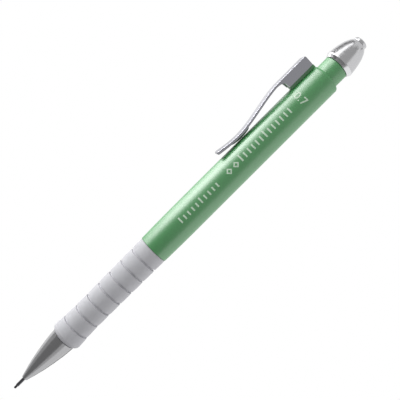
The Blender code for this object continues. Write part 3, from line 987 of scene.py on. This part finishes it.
def build_stage():
    """A plain white floor inside a white dome; the lamps light the pencil, not the stage."""
    floor = bmesh.new()
    bmesh.ops.create_circle(floor, cap_ends=True, radius=STAGE_RADIUS, segments=96)
    backdrop = bmesh.new()
    bmesh.ops.create_uvsphere(backdrop, u_segments=48, v_segments=24, radius=STAGE_RADIUS)
    for name, bm in (("floor", floor), ("backdrop", backdrop)):
        mesh = bpy.data.meshes.new(name)
        bm.to_mesh(mesh)
        bm.free()
        mesh.materials.append(glowing(f"white_{name}"))
        thing = bpy.data.objects.new(name, mesh)
        bpy.context.scene.collection.objects.link(thing)
        thing.visible_diffuse = False
        thing.visible_glossy = False
        thing.visible_transmission = False
        thing.visible_shadow = False


def area_light(name, centre, target, size, radiance):
    """A rectangular lamp whose face has the given radiance towards the target."""
    data = bpy.data.lights.new(name, "AREA")
    data.shape = "RECTANGLE"
    data.size, data.size_y = size
    data.energy = radiance * math.pi * size[0] * size[1]
    lamp = bpy.data.objects.new(name, data)
    facing = (Vector(centre) - Vector(target)).normalized()
    up = facing.cross(ALONG if abs(facing.x) < 0.9 else SIDE).normalized()
    across = up.cross(facing)
    lamp.matrix_world = Matrix.Translation(centre) @ Matrix((across, up, facing)).transposed().to_4x4()
    lamp.visible_camera = False
    bpy.context.scene.collection.objects.link(lamp)


AMBIENT = 0.13
LAMP_STEP = 15  # degrees
NEAR_LAMPS = 0.15  # metres from the axis
FAR_LAMPS = 0.6
END_LAMP = 0.35
END_LAMP_SIZE = 0.3
# Stretches of the frame's X axis, which the lamps run along.
TIP_END = (-0.3, -0.075)
MIDDLE = (-0.075, 0.105)
FRONT = (-0.035, 0.105)
KEY_REACH = (-0.09, 0.25)
KEY_LOW_REACH = (0.12, 0.26)
BUTTON_END = (0.105, 0.3)


def softbox(name, first, last, reach, radiance, distance=NEAR_LAMPS):
    """A long lamp bent round the pencil between two angles, from the camera towards the clip."""
    strip = 2 * distance * math.tan(math.radians(LAMP_STEP / 2))
    middle = Vector((sum(reach) / 2, TIP.y, TIP.z))
    for i in range(round((last - first) / LAMP_STEP)):
        angle = math.radians(first + LAMP_STEP * (i + 0.5))
        outward = math.cos(angle) * TO_CAMERA + math.sin(angle) * ACROSS
        area_light(f"{name}_{i}", middle + outward * distance, middle,
                   (reach[1] - reach[0], strip), radiance)


def build_world():
    world = bpy.data.worlds.new("studio")
    world.use_nodes = True
    background = world.node_tree.nodes["Background"]
    background.inputs["Color"].default_value = (AMBIENT, AMBIENT, AMBIENT, 1.0)
    bpy.context.scene.world = world


def build_lights():
    """A broad soft light from the table's side, a strong one over the clip, and dim ends."""
    softbox("table", -157.5, -52.5, MIDDLE, 0.92)
    softbox("front", -52.5, 52.5, FRONT, 0.27)
    softbox("key_low", 37.5, 52.5, KEY_LOW_REACH, 2.8, FAR_LAMPS)
    softbox("key_front", 52.5, 67.5, KEY_REACH, 3.9, FAR_LAMPS)
    softbox("key", 67.5, 97.5, KEY_REACH, 6.7, FAR_LAMPS)
    softbox("key_back", 97.5, 127.5, KEY_REACH, 3.9, FAR_LAMPS)
    softbox("back_high", 127.5, 157.5, FRONT, 1.0)
    softbox("back", 157.5, 202.5, MIDDLE, 0.52)
    softbox("table_tip", -142.5, -52.5, TIP_END, 0.84)
    softbox("front_tip", -52.5, -22.5, TIP_END, 0.47)
    softbox("dark_tip", -22.5, 67.5, TIP_END, 0.12)
    softbox("top_tip", 67.5, 112.5, TIP_END, 0.34)
    softbox("rim_tip", 112.5, 157.5, TIP_END, 0.92)
    softbox("table_end", -142.5, -37.5, BUTTON_END, 0.64)
    softbox("front_end", -37.5, 52.5, BUTTON_END, 0.27)
    softbox("key_end", 52.5, 82.5, BUTTON_END, 1.32)
    softbox("high_end", 82.5, 127.5, BUTTON_END, 0.12)
    softbox("rim_end", 127.5, 217.5, BUTTON_END, 0.72)
    area_light("beyond_button", (END_LAMP, TIP.y, TIP.z), (0.0, TIP.y, TIP.z),
               (END_LAMP_SIZE, END_LAMP_SIZE), 0.55)


build_lead()
build_lead_guide()
build_lead_retainer()
build_nose()
build_chuck()
build_chuck_ring()
build_thread_insert()
build_chuck_housing()
build_return_spring()
build_magazine_coupler()
build_magazine_tube()
build_spare_leads()
build_grip()
build_barrel()
build_lug()
build_size_mark()
build_scale_marks()
build_clip()
build_clip_pin()
build_clip_spring()
build_button_sleeve()
build_button_cap()
build_button_finial()
build_eraser_cup()
build_eraser()
build_camera()
build_stage()
build_world()
build_lights()
bpy.context.scene.view_settings.view_transform = "Standard"
